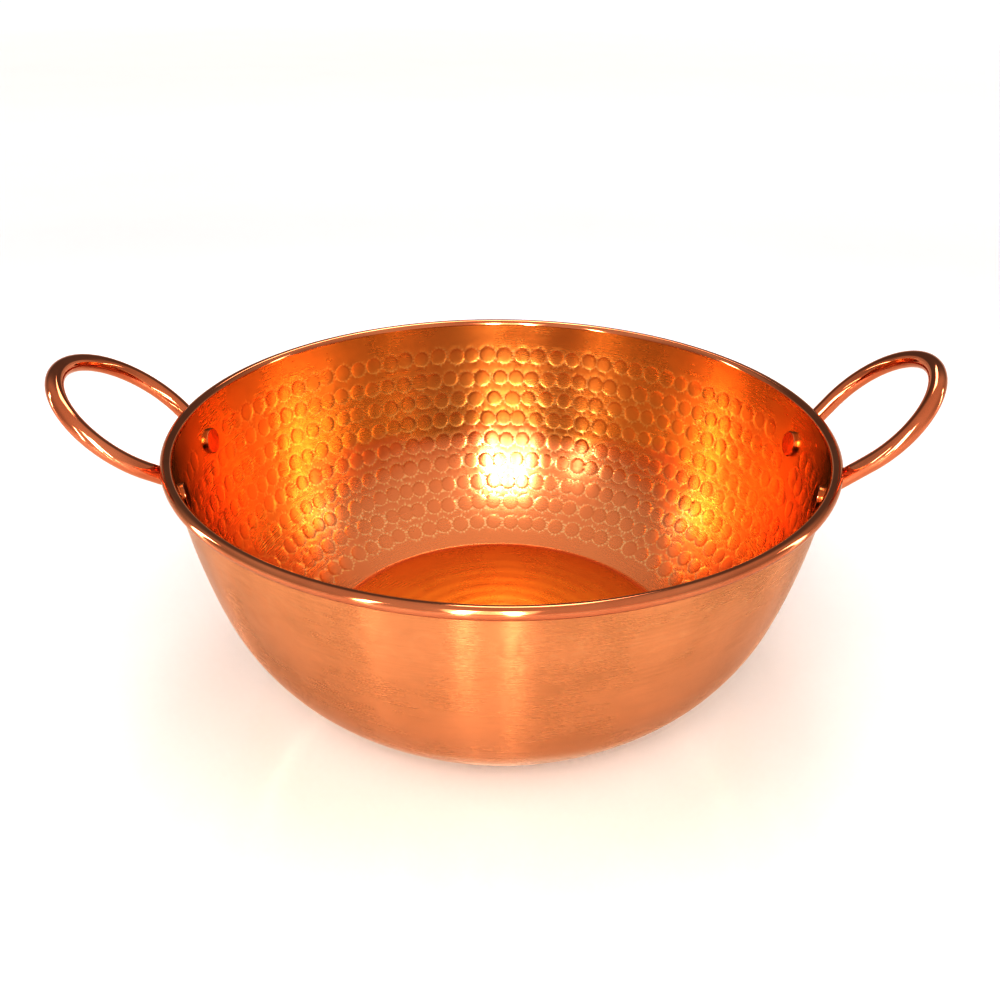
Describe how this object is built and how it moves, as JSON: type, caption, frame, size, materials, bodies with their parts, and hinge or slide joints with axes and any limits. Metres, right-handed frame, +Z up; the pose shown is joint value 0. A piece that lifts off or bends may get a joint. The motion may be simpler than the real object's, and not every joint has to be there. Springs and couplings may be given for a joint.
{
  "type": "preserving bowl",
  "caption": "Round-bellied hammered copper bowl with a rolled rim, a flat base and two raised loop handles for holding, cooking and carrying food.",
  "frame": {"origin": "centre of the flat base's underside, under the middle of the round rim", "axes": "+Z up, +X towards the right handle, +Y away from a viewer who has the handles left and right"},
  "size_m": [0.4004, 0.31, 0.1603],
  "materials": {
    "hammered_copper": "hammered, satin outside and bright inside",
    "rim_steel": "drawn wire",
    "handle_copper": "polished",
    "rivet_copper": "polished"
  },
  "bodies": {
    "root": {"bowl_shell": "hammered_copper", "rim_wire": "rim_steel", "left_handle": "handle_copper", "right_handle": "handle_copper", "left_rear_rivet": "rivet_copper", "left_front_rivet": "rivet_copper", "right_rear_rivet": "rivet_copper", "right_front_rivet": "rivet_copper"}
  },
  "joints": []
}
